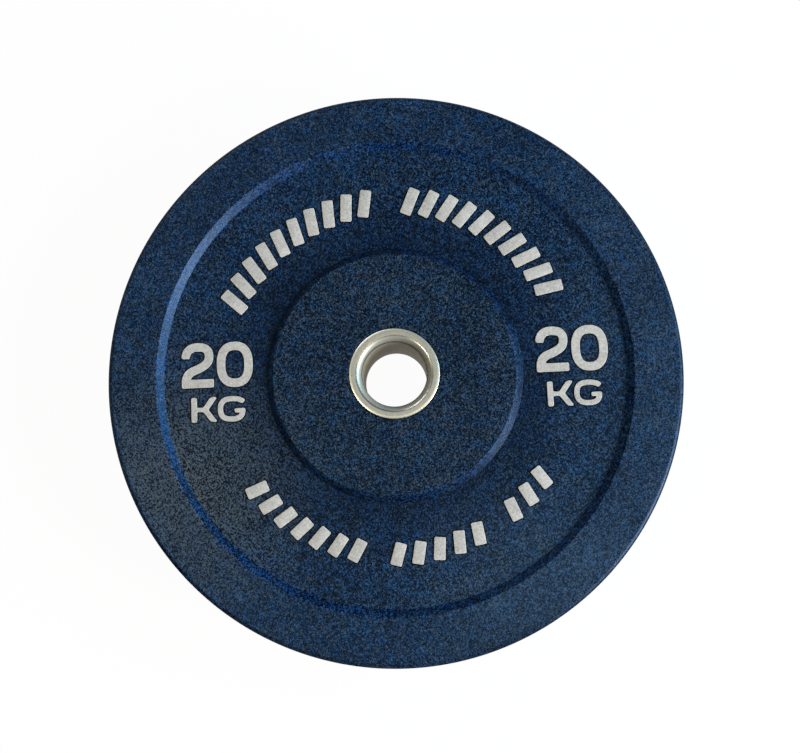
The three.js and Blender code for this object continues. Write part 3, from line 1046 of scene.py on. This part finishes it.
# %% Turn outlines into solids
def moved_in(loop, step):
    """The outline moved towards its inside, which lies on the left of its points."""
    moved = []
    for i, point in enumerate(loop):
        arriving = (point - loop[i - 1]).normalized()
        leaving = (loop[(i + 1) % len(loop)] - point).normalized()
        along = (arriving + leaving).normalized()
        moved.append(point + Vector((-along.y, along.x)) * step / max(along.dot(leaving), 0.5))
    return moved


def loop_area(loop):
    """The area inside a loop, which counts below zero for a hole."""
    return sum(loop[i - 1].cross(point) for i, point in enumerate(loop)) / 2


def cap_faces(loops, first_index):
    """Triangles that fill the outlines but not their holes, without adding a point."""
    points = [point for loop in loops for point in loop]
    polygons, start = [], 0
    for loop in loops:
        polygons.append(list(range(start, start + len(loop))))
        start += len(loop)
    joined, _, faces, sources, *_ = delaunay_2d_cdt(points, [], polygons, 2, 0)
    area = sum(loop_area([joined[index] for index in face]) for face in faces)
    assert len(joined) == len(points), "the outline crosses itself"
    assert math.isclose(area, sum(map(loop_area, loops)), rel_tol=1e-3), "the outline isn't filled right"
    return [[first_index + sources[index][0] for index in face] for face in faces]


def ringed_solid(name, loops, rings):
    """A solid from outlines and a list of (step inwards, height), from the foot to the top."""
    levels = [[moved_in(loop, step) for loop in loops] for step, _ in rings]
    points = [(p.x, p.y, rings[i][1]) for i, level in enumerate(levels) for loop in level for p in loop]
    count = sum(len(loop) for loop in loops)
    faces, start = [], 0
    for level in levels[:-1]:
        for loop in level:
            for i in range(len(loop)):
                a, b = start + i, start + (i + 1) % len(loop)
                faces.append((a, b, b + count, a + count))
            start += len(loop)
    faces += [face[::-1] for face in cap_faces(levels[0], 0)]
    faces += cap_faces(levels[-1], start)
    return mesh_object(name, points, (), faces)


test_corners = [Vector((0, 0)), Vector((1, 0)), Vector((1, 1)), Vector((0, 1))]
print("a square of 1 walked with its inside on the left counts as", loop_area(test_corners))

# %% [markdown]
# ## Rings of marks and pockets
#
# A mark rises straight from its foot and rounds over at the top in a quarter circle. Its pocket needs only
# two rings, one under the mark's foot and one well above the rubber, because it is a plain straight hole.

# %% Name the rings of marks and pockets
inlay_edge_rounding = 0.3 * mm
edge_steps = 4
pocket_gap = 0.8 * mm
cutter_overrun = 2 * mm
inlay_foot, inlay_top = floor_height - inlay_sink, floor_height + inlay_raise


def top_edge_rings(foot, top, rounding):
    """Rings of a straight side with a rounded top edge. Two more beside the rounding hold the flats flat."""
    side_hold, top_hold = 0.15 * mm, 0.2 * mm
    rings = [(0, foot), (0, top - rounding - side_hold)]
    for step in range(edge_steps + 1):
        turn = step / edge_steps * math.pi / 2
        rings.append((rounding * (1 - math.cos(turn)), top - rounding * (1 - math.sin(turn))))
    rings.append((rounding + top_hold, top))
    return rings


inlay_rings = top_edge_rings(inlay_foot, inlay_top, inlay_edge_rounding)
pocket_rings = [(0, inlay_foot - clearance), (0, floor_height + cutter_overrun)]
print("a mark is built in", len(inlay_rings), "rings")

# %% [markdown]
# ## The weight marks
#
# Each face says 20 KG twice, left and right of the bore. The marks stand where the solid model has them,
# apart from a few tenths of a millimetre by which the picture shows them further out or higher. The marks
# of the back are those of the front turned over about the upright axis of the face, as the solid model has
# them.

# %% Draw the weight marks
two_width, two_height = 25.4 * mm, 35.8 * mm
zero_width, zero_height = 28.5 * mm, 36.1 * mm
k_width, k_height = 20.7 * mm, 19.7 * mm
g_width, g_height = 21.7 * mm, 20.2 * mm
numeral_stroke, k_stroke, g_stroke, bar_stroke = 6.8 * mm, 4.6 * mm, 4.2 * mm, 3.5 * mm
numeral_rounding, letter_rounding = 1.3 * mm, 1.1 * mm

mark_shapes = {
    "numeral_2": numeral_two(two_width, two_height, numeral_stroke, numeral_rounding),
    "numeral_0": numeral_zero(zero_width, zero_height, numeral_stroke),
    "letter_k": letter_k(k_width, k_height, k_stroke, bar_stroke, letter_rounding),
    "letter_g": letter_g(g_width, g_height, g_stroke, bar_stroke, letter_rounding),
}
print("drew", ", ".join(mark_shapes))

# %% [markdown]
# ## Setting the weight marks
#
# A mark and the cutter of its pocket are made from the same strokes, the cutter's with a wider pen. So the
# dark line between mark and rubber is about as wide everywhere, also inside the 0 and at the fork of the K.
# The cutters are kept aside until all pockets can be cut together.

# %% Set the weight marks
side_moves = {"left": -0.2 * mm, "right": 0.5 * mm}
shape_lifts = {"numeral_2": 0.3 * mm, "numeral_0": 0.0, "letter_k": 0.35 * mm, "letter_g": 0.2 * mm}
turned_over = Matrix.Rotation(math.pi, 4, "Y")


def mark_middle(side, shape_name):
    low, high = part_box(f"front_{side}_{shape_name}")
    return (low + high) / 2 + Vector((side_moves[side], shape_lifts[shape_name], 0))


def moved_to(middle, loops):
    return [[point + middle.xy for point in loop] for loop in loops]


mark_cutters = []
for side in ("left", "right"):
    for shape_name, lines in mark_shapes.items():
        middle = mark_middle(side, shape_name)
        mark_loops = moved_to(middle, outlines(lines))
        pocket_loops = moved_to(middle, outlines(lines, pocket_gap))
        for face in ("front", "rear"):
            node = f"{face}_{side}_{shape_name}"
            mark = ringed_solid(node + "_finished", mark_loops, inlay_rings)
            cutter = ringed_solid(node + "_cutter", pocket_loops, pocket_rings)
            if face == "rear":
                mark.data.transform(turned_over)
                cutter.data.transform(turned_over)
            tidy_mesh(mark)
            finish_piece(mark, inlay_finish, node)
            mark_cutters.append(cutter)
print("set", len(mark_cutters), "weight marks")

# %% [markdown]
# ## The striped inlays
#
# Between the weight marks, rows of short leaning stripes follow two arcs. A row is a rule: so many stripes,
# spread evenly along an arc, each turned to face the axis and then leant over. Geometry Nodes hold that
# rule. One rounded bar is drawn and given its height, and a copy is placed on each point of the arc. A thin
# web under the rubber joins the bars, so that a row goes into the mould as one piece.

# %% Build the tree of bars
def raised(bench, flat, foot, top):
    """A flat face made a closed block between two heights."""
    lift = bench.node("ShaderNodeCombineXYZ", None, {"Z": foot})
    base = bench.node("GeometryNodeTransform", None, {"Geometry": flat, "Translation": lift})
    sockets = {"Mesh": base, "Offset Scale": top - foot, "Individual": False}
    block = bench.node("GeometryNodeExtrudeMesh", {"mode": "FACES"}, sockets)
    under = bench.node("GeometryNodeFlipFaces", None, {"Mesh": base})
    closed = bench.node("GeometryNodeJoinGeometry", None, {"Geometry": [block, under]})
    return bench.node("GeometryNodeMergeByDistance", None, {"Geometry": closed, "Distance": 0.01 * mm})


def rounded_bar(bench, wires):
    sockets = {"Width": wires["Length"], "Height": wires["Width"]}
    box = bench.node("GeometryNodeCurvePrimitiveQuadrilateral", {"mode": "RECTANGLE"}, sockets)
    sockets = {"Curve": box, "Count": 5, "Radius": wires["Rounding"]}
    rounded = bench.node("GeometryNodeFilletCurve", {"mode": "POLY"}, sockets)
    flat = bench.node("GeometryNodeFillCurve", {"mode": "NGONS"}, {"Curve": rounded})
    return raised(bench, flat, wires["Foot"], wires["Top"])


def bar_tree():
    """A row of rounded bars that stand on an arc, each leaning by the same angle."""
    names = ("Arc radius", "From angle", "To angle", "Lean", "Width", "Length", "Rounding", "Foot", "Top")
    inputs = {"Count": "Int", **{name: "Float" for name in names}, "Finish": "Material"}
    tree, bench, wires = geometry_tree("Row of bars", inputs)
    step = (wires["To angle"] - wires["From angle"]) / (wires["Count"] - 1)
    angle = wires["From angle"] + bench.node("GeometryNodeInputIndex") * step
    across, up = (bench.maths(name, angle) * wires["Arc radius"] for name in ("COSINE", "SINE"))
    spot = bench.node("ShaderNodeCombineXYZ", None, {"X": across, "Y": up})
    spots = bench.node("GeometryNodePoints", None, {"Count": wires["Count"], "Position": spot})
    turn = bench.node("ShaderNodeCombineXYZ", None, {"Z": angle - wires["Lean"]})
    sockets = {"Points": spots, "Instance": rounded_bar(bench, wires), "Rotation": turn}
    row = bench.node("GeometryNodeInstanceOnPoints", None, sockets)
    close_tree(bench, row, wires["Finish"])
    return tree


bars = bar_tree()
print("the tree of bars has", len(bars.nodes), "nodes")

# %% [markdown]
# ## The web of a row
#
# The web is never seen, but without it a row would be a handful of loose bars. It is a flat strip swept
# along the same arc. Its start, its end and its radius are those of the bars, so the two always fit.

# %% Build the tree of the web
def web_tree():
    """A flat strip along an arc."""
    names = ("Arc radius", "From angle", "To angle", "Width", "Foot", "Top")
    tree, bench, wires = geometry_tree("Web", {**{name: "Float" for name in names}, "Finish": "Material"})
    sockets = {
        "Resolution": 48,
        "Radius": wires["Arc radius"],
        "Start Angle": wires["From angle"],
        "Sweep Angle": wires["To angle"] - wires["From angle"],
    }
    arc = bench.node("GeometryNodeCurveArc", {"mode": "RADIUS"}, sockets)
    sockets = {"Width": wires["Width"], "Height": wires["Top"] - wires["Foot"]}
    section = bench.node("GeometryNodeCurvePrimitiveQuadrilateral", {"mode": "RECTANGLE"}, sockets)
    sockets = {"Curve": arc, "Profile Curve": section, "Fill Caps": True}
    strip = bench.node("GeometryNodeCurveToMesh", None, sockets)
    lift = bench.node("ShaderNodeCombineXYZ", None, {"Z": (wires["Foot"] + wires["Top"]) * 0.5})
    web = bench.node("GeometryNodeTransform", None, {"Geometry": strip, "Translation": lift})
    close_tree(bench, web, wires["Finish"])
    return tree


web = web_tree()
print("the tree of the web has", len(web.nodes), "nodes")

# %% [markdown]
# ## The sizes of the rows
#
# The rows differ only in where they start and end and in how high their bars are, so one table holds them.
# A leaning bar reaches past its own point of the arc, so the first and last point are drawn in by that
# much.

# %% Size the rows of stripes
stripe_radius, stripe_width, stripe_pitch = 139.5 * mm, 9 * mm, 15 * mm
stripe_lean = math.radians(16)
stripe_corner = 1.3 * mm
web_width, web_thickness = 9 * mm, 1.1 * mm
upper_height, lower_height = 24 * mm, 19.5 * mm
stripe_rows = {
    "upper_left_stripes": (94.4, 156.2, upper_height),
    "upper_right_stripes": (23.8, 85.6, upper_height),
    "lower_left_stripes": (215, 258.6, lower_height),
    "lower_middle_stripes": (266, 298, lower_height),
    "lower_right_stripes": (305.7, 325, lower_height),
}


def row_values(start, end, height):
    """The inputs of a row's bars and of its web, with the end bars held inside the row's two ends."""
    reach = (height - stripe_width * math.sin(stripe_lean)) / math.cos(stripe_lean) / 2
    end_angle = (stripe_width / 2 + reach * math.sin(stripe_lean)) / stripe_radius
    start, end = math.radians(start), math.radians(end)
    arc = {"Arc radius": stripe_radius, "From angle": start + end_angle, "To angle": end - end_angle}
    arc.update({"Finish": inlay_finish, "Foot": inlay_foot})
    bar_values = {
        "Count": max(2, round((end - start) * stripe_radius / stripe_pitch)),
        "Lean": stripe_lean,
        "Width": stripe_width,
        "Length": 2 * reach,
        "Rounding": stripe_corner,
        "Top": inlay_top,
    }
    web_values = {"Width": web_width, "Top": inlay_foot + web_thickness}
    return {**arc, **bar_values}, {**arc, **web_values}


def grown(values, over):
    """The same piece as a cutter: larger by the gap all round, and higher by a length of its own."""
    bigger = dict(values)
    bigger["Width"] += 2 * pocket_gap
    bigger["Foot"] -= clearance
    bigger["Top"] += over
    if "Length" in values:
        bigger["Length"] += 2 * pocket_gap
        bigger["Rounding"] += pocket_gap
    return bigger


print("the rows have", [row_values(*row)[0]["Count"] for row in stripe_rows.values()], "stripes")

# %% [markdown]
# ## Setting the rows of stripes
#
# The bars get a small Bevel on their edges, as their corners are few and wide apart, and the web is joined
# to them by a Boolean. The pocket's cutters come from the same two trees with slightly larger inputs.

# %% Set the rows of stripes
def round_edges(piece, width, sharp_from=math.radians(50), segments=3):
    bevel = piece.modifiers.new("Round the edges", "BEVEL")
    bevel.width = width
    bevel.segments = segments
    bevel.limit_method = "ANGLE"
    bevel.angle_limit = sharp_from
    return bake(piece)


def combine(target, tool, operation):
    """Joins the tool to the target or cuts it out. Both are closed solids, and the tool is used up."""
    change = target.modifiers.new(operation, "BOOLEAN")
    change.operation = operation
    change.solver = "MANIFOLD"
    change.object = tool
    bake(target)
    bpy.data.objects.remove(tool)
    return target


def grown_from(name, tree, values):
    """A new piece that is all the tree's own making."""
    return run_tree(mesh_object(name, []), tree, values)


bar_cutters, web_cutters = [], []
for row_name, row in stripe_rows.items():
    bar_values, web_values = row_values(*row)
    for face in ("front", "rear"):
        node = f"{face}_{row_name}"
        stripes = tidy_mesh(grown_from(node + "_finished", bars, bar_values))
        round_edges(stripes, inlay_edge_rounding)
        combine(stripes, tidy_mesh(grown_from(node + "_web", web, web_values)), "UNION")
        bar_cutter = grown_from(node + "_bar_cutter", bars, grown(bar_values, cutter_overrun))
        web_cutter = grown_from(node + "_web_cutter", web, grown(web_values, clearance))
        if face == "rear":
            for piece in (stripes, bar_cutter, web_cutter):
                piece.data.transform(turned_over)
        finish_piece(tidy_mesh(stripes), inlay_finish, node)
        bar_cutters.append(bar_cutter)
        web_cutters.append(web_cutter)
print("set", len(bar_cutters), "rows of stripes")

# %% [markdown]
# ## The plugs
#
# When the disc is pressed, rubber flows through the holes of the anchor disc and ties both halves together.
# These plugs are a ring of equal cylinders, so a small tree sets one on each point of a circle.

# %% Make the plugs
def plug_tree():
    inputs = {"Count": "Int", "Ring radius": "Float", "Plug radius": "Float", "Height": "Float"}
    tree, bench, wires = geometry_tree("Ring of plugs", {**inputs, "Finish": "Material"})
    sockets = {"Vertices": wires["Count"], "Radius": wires["Ring radius"]}
    spots = bench.node("GeometryNodeMeshCircle", None, sockets)
    sockets = {"Vertices": 48, "Radius": wires["Plug radius"], "Depth": wires["Height"]}
    plug = bench.node("GeometryNodeMeshCylinder", None, sockets)
    ring = bench.node("GeometryNodeInstanceOnPoints", None, {"Points": spots, "Instance": plug})
    close_tree(bench, ring, wires["Finish"])
    return tree


plug_values = {
    "Count": 8,
    "Ring radius": 62 * mm,
    "Plug radius": 9.4 * mm,
    "Height": 2 * (anchor_slot + cutter_overrun),
    "Finish": rubber_finish,
}
plugs = tidy_mesh(grown_from("plugs", plug_tree(), plug_values))

# %% [markdown]
# ## The pockets
#
# A Boolean modifier joins two closed solids or takes one out of the other. A cutter may hold many solids,
# but none that overlap, so the marks, the bars and the webs are gathered and cut as three groups. That is
# far less work than one cut for each of the 26 inlays.

# %% Join the plugs and cut the pockets
def gathered(name, pieces):
    """One piece that holds the meshes of several, which are used up."""
    mesh = bmesh.new()
    for piece in pieces:
        mesh.from_mesh(piece.data)
        bpy.data.objects.remove(piece)
    whole = mesh_object(name, [])
    mesh.to_mesh(whole.data)
    mesh.free()
    return tidy_mesh(whole)


combine(rubber_disc, plugs, "UNION")
for group, cutters in {"mark": mark_cutters, "bar": bar_cutters, "web": web_cutters}.items():
    combine(rubber_disc, gathered(group + "_cutter", cutters), "DIFFERENCE")
finish_piece(tidy_mesh(rubber_disc), rubber_finish, "rubber_body")

# %% [markdown]
# ## The steel insert
#
# A collar is a flanged ring whose mouth is rounded like a trumpet, so that the plate slides onto a bar
# without catching. Its flat lip falls gently over the last few millimetres, as a turned edge does, and that
# fall is what catches the light as a bright line. Both curves are written as points, because a rounding of
# a fixed radius would give neither the mouth's quarter oval nor the lip's slow fall.

# %% Shape the collar's mouth and lip
lip_edge_rounding = 0.5 * mm
lip_fall_end = 0.8 * mm


def mouth_curve(steps=18):
    """The rounded mouth, from the top of the lip down to the bore."""
    curve = []
    for step in range(steps + 1):
        turn = math.pi / 2 * (1 - step / steps)
        radius = bore_radius + flare_width * (1 - math.cos(turn))
        curve.append((radius, throat_height + flare_depth * math.sin(turn), 0))
    return curve


def lip_curve(steps=7):
    """The lip's gentle fall towards its edge, from near the edge to where the lip is flat."""
    curve = []
    for step in range(steps + 1):
        reach = (lip_fall_width - lip_fall_end) * (1 - step / steps)
        fall = lip_fall * (reach / lip_fall_width) ** 2
        curve.append((collar_radius - lip_fall_width + reach, lip_top - fall, 0))
    return curve


print("the lip starts to fall", lip_fall_width / mm, "mm from its edge")

# %% [markdown]
# ## The collars and the sleeve
#
# The collar's skirt grips the end of the sleeve, which is a plain tube, and the two meet at a fine seam
# that shows as a dark line inside the mouth. All three are spun sections, like the disc. The rear collar is
# the front one turned over.

# %% Spin the collars and the sleeve
collar_corners = [
    *mouth_curve(),
    (socket_radius, throat_height, 0),
    (socket_radius, skirt_foot, 0),
    (skirt_radius, skirt_foot, 0),
    (skirt_radius, lip_foot, 0),
    (collar_radius, lip_foot, 0),
    (collar_radius, lip_top - lip_fall, lip_edge_rounding),
    *lip_curve(),
]
for face in ("front", "rear"):
    collar = spun(f"{face}_collar_finished", collar_corners, steel_segments, collar_finish)
    if face == "rear":
        collar.data.transform(turned_over)
    finish_piece(collar, collar_finish, f"{face}_collar")

sleeve_corners = mirrored([(bore_radius, sleeve_end, 0), (sleeve_radius, sleeve_end, 0)])
sleeve = spun("hub_sleeve_finished", sleeve_corners, steel_segments, sleeve_finish)
finish_piece(sleeve, sleeve_finish, "hub_sleeve")

# %% [markdown]
# ## The anchor disc
#
# The anchor disc is the raw steel plate that keeps the insert from being pulled out of the rubber. It is
# sealed inside, where a finer shape would never be seen, so the solid model's own piece stays and gets only
# its finish.

# %% Finish the anchor disc
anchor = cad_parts["anchor_disc"]
anchor.data.materials.clear()
anchor.data.materials.append(anchor_finish)
print("the anchor disc keeps its", len(anchor.data.polygons), "faces")

# %% [markdown]
# ## The floor
#
# The plate lies on a plain white floor. A floor bright enough to be white by lamps alone would light the
# plate far too much, so Light Path tells what is looking at it: to the camera it glows as plain white, with
# a faint share of lit paper that lets the plate's shadow show, and it lights the plate only as paper does.

# %% Lay the floor
floor_radius, floor_level, floor_sides = 12.0, -lip_top - 0.05 * mm, 96
paper_grey = (0.88, 0.88, 0.88, 1)
plain_white = (1, 1, 1, 1)


def seen_share(bench, reflected):
    """1 for what is seen straight or through glass, and this much for what is seen in a reflection."""
    rays = bench.node("ShaderNodeLightPath", output="Is Camera Ray")
    return rays + rays.other_output("Is Transmission Ray") + rays.other_output("Is Glossy Ray") * reflected


def white_paper(white=0.96, near=1.0, far=5.0):
    """White paper, whose reflection fades out far from the middle."""
    material, bench = new_finish("white_paper")
    away = bench.vector("LENGTH", object_place(bench), output="Value")
    share = seen_share(bench, faded(bench, away, near, far)) * white
    paper = bench.node("ShaderNodeBsdfDiffuse", None, {"Color": paper_grey})
    glow = bench.node("ShaderNodeEmission", None, {"Color": plain_white, "Strength": 1.0})
    surface = bench.node("ShaderNodeMixShader", None, {0: share, 1: paper, 2: glow})
    bench.node("ShaderNodeOutputMaterial", None, {"Surface": surface})
    return material


floor_points = []
for turn in range(floor_sides):
    angle = math.radians(turn * 360 / floor_sides)
    floor_points.append((floor_radius * math.cos(angle), floor_radius * math.sin(angle), floor_level))
floor = mesh_object("floor", floor_points, (), [tuple(range(floor_sides))])
floor.data.materials.append(white_paper())
print("the floor is", 2 * floor_radius, "m across")

# %% [markdown]
# ## The light
#
# Five soft lamps light the plate. The large key lamp stands to the right and low, as the bright inner slope
# of the rim on the left shows, and a blue window light beside it gives the slopes their blue shine. A weak
# ceiling lamp and a fill lamp behind keep the rest readable, and a small warm lamp makes the highlight on
# the collar's lower left. Area lamps are used because real softboxes and windows have a size, which rounds
# off highlights and softens shadows.

# %% Hang the lamps
def soft_lamp(name, azimuth, elevation, distance, size, power, colour=(1, 1, 1)):
    """A lamp that looks at the plate, at an azimuth and elevation in degrees."""
    around, up = math.radians(azimuth), math.radians(elevation)
    away = Vector((math.cos(around) * math.cos(up), math.sin(around) * math.cos(up), math.sin(up)))
    lamp = bpy.data.lights.new(name, "AREA")
    lamp.shape = "RECTANGLE"
    lamp.size, lamp.size_y = size
    lamp.energy = power
    lamp.color = colour
    holder = bpy.data.objects.new(name, lamp)
    holder.location = away * distance
    holder.rotation_euler = away.to_track_quat("Z", "Y").to_euler()
    bpy.context.scene.collection.objects.link(holder)
    return holder


window_blue, ceiling_amber, warm_white = (0.35, 0.78, 1.0), (1.0, 0.86, 0.6), (1.0, 0.95, 0.76)
lamps = [
    soft_lamp("key softbox", -25, 27, 3.0, size=(1.15, 1.4), power=120),
    soft_lamp("window light", 8, 32, 3.0, size=(1.0, 0.8), power=46, colour=window_blue),
    soft_lamp("ceiling lamp", -30, 75, 3.0, size=(1.0, 1.0), power=8, colour=ceiling_amber),
    soft_lamp("fill softbox", 122, 46, 3.0, size=(0.8, 0.8), power=15),
    soft_lamp("small warm lamp", 205, 60, 2.0, size=(0.15, 0.15), power=8.5, colour=warm_white),
]
print("hung", len(lamps), "lamps")

# %% [markdown]
# ## The sky
#
# The sky is plain white where the camera sees it, like the floor. In reflections it is nearly dark, as a
# room is behind its lamps, so the steel keeps its dark places. It lights the plate hardly at all.

# %% Set the sky
def even_sky(strength, white=0.95, reflected=0.03):
    """An even sky: plain white where it is seen, nearly dark in reflections, and hardly any light."""
    world = bpy.data.worlds.new("even sky")
    world.use_nodes = True
    world.node_tree.nodes.clear()
    bench = Bench(world.node_tree)
    level = seen_share(bench, reflected) * white + strength
    sky = bench.node("ShaderNodeBackground", None, {"Color": plain_white, "Strength": level})
    bench.node("ShaderNodeOutputWorld", None, {"Surface": sky})
    bpy.context.scene.world = world
    return world


even_sky(strength=0.008)
bpy.context.scene.view_settings.view_transform = "Standard"
print("the sky is", bpy.context.scene.world.name)

# %% [markdown]
# ## The camera
#
# The camera hangs over the plate and a little to its lower side, so the near wall of the bore is hidden and
# the far one shows. It is rolled by a few degrees, which turns the plate the other way in the picture. Its
# place and aim were fitted to the rings of the plate, which it sees as ellipses.

# %% Set the camera
camera_place = Vector((18.82, -107.41, 856.64)) * mm
camera_aim = Vector((4.34, -2.80, 37)) * mm
camera_roll = math.radians(-2.53)
camera_data = bpy.data.cameras.new("camera")
camera_data.lens = 47.75
camera_data.sensor_width = 36
camera = bpy.data.objects.new("camera", camera_data)
camera.location = camera_place
backward = (camera_place - camera_aim).normalized()
sideways = Vector((0, 1, 0)).cross(backward).normalized()
upright = Matrix((sideways, backward.cross(sideways), backward)).transposed()
camera.rotation_euler = (upright @ Matrix.Rotation(camera_roll, 3, "Z")).to_euler()
bpy.context.scene.collection.objects.link(camera)
bpy.context.scene.camera = camera
print("the camera looks from", camera_place)
